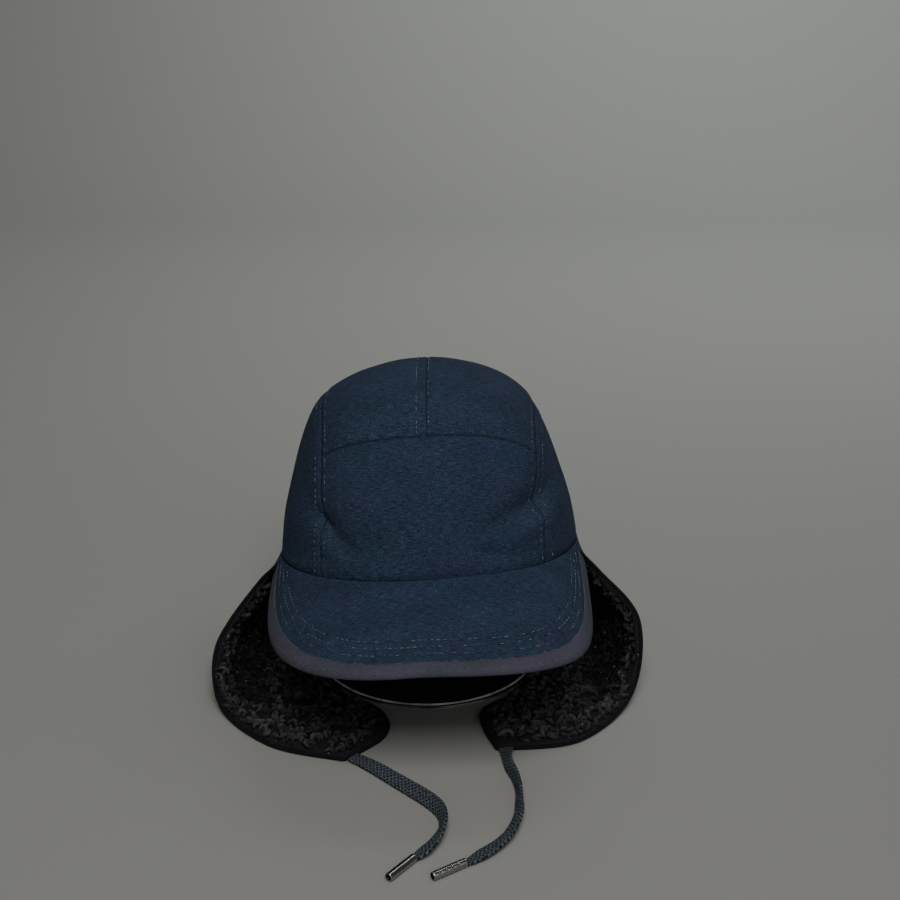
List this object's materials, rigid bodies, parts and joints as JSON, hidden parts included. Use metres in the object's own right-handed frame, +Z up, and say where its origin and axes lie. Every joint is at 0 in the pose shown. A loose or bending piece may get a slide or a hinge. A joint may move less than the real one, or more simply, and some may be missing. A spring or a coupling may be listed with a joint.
{
  "type": "ear flap cap on display stand",
  "caption": "Panelled cloth cap with a flat visor and a fleece lined ear flap band with lace ties, held up by a round footed display stand.",
  "frame": {"origin": "middle of the stand's round foot, on the table", "axes": "+Z up along the post, -Y the way the visor points, +X toward the wearer's left, which is the right of a front view"},
  "size_m": [0.2332, 0.3349, 0.1696],
  "materials": {
    "navy_canvas": "matt slubby canvas, navy",
    "binding_tape": "matt woven tape, grey violet",
    "black_fleece": "curly pile, black",
    "woven_lace": "flat woven lace, dark teal navy",
    "tip_metal": "satin nickel",
    "stand_black": "satin black lacquer"
  },
  "bodies": {
    "root": {"front_panel": "navy_canvas", "top_panel_left": "navy_canvas", "top_panel_right": "navy_canvas", "side_panel_left": "navy_canvas", "side_panel_right": "navy_canvas", "visor": "navy_canvas", "visor_binding": "binding_tape", "flap_shell_left": "navy_canvas", "flap_shell_right": "navy_canvas", "flap_fleece_left": "black_fleece", "flap_fleece_right": "black_fleece", "lace_left": "woven_lace", "lace_right": "woven_lace", "lace_tip_left": "tip_metal", "lace_tip_right": "tip_metal", "stand_base": "stand_black", "stand_post": "stand_black", "stand_head": "stand_black"}
  },
  "joints": []
}
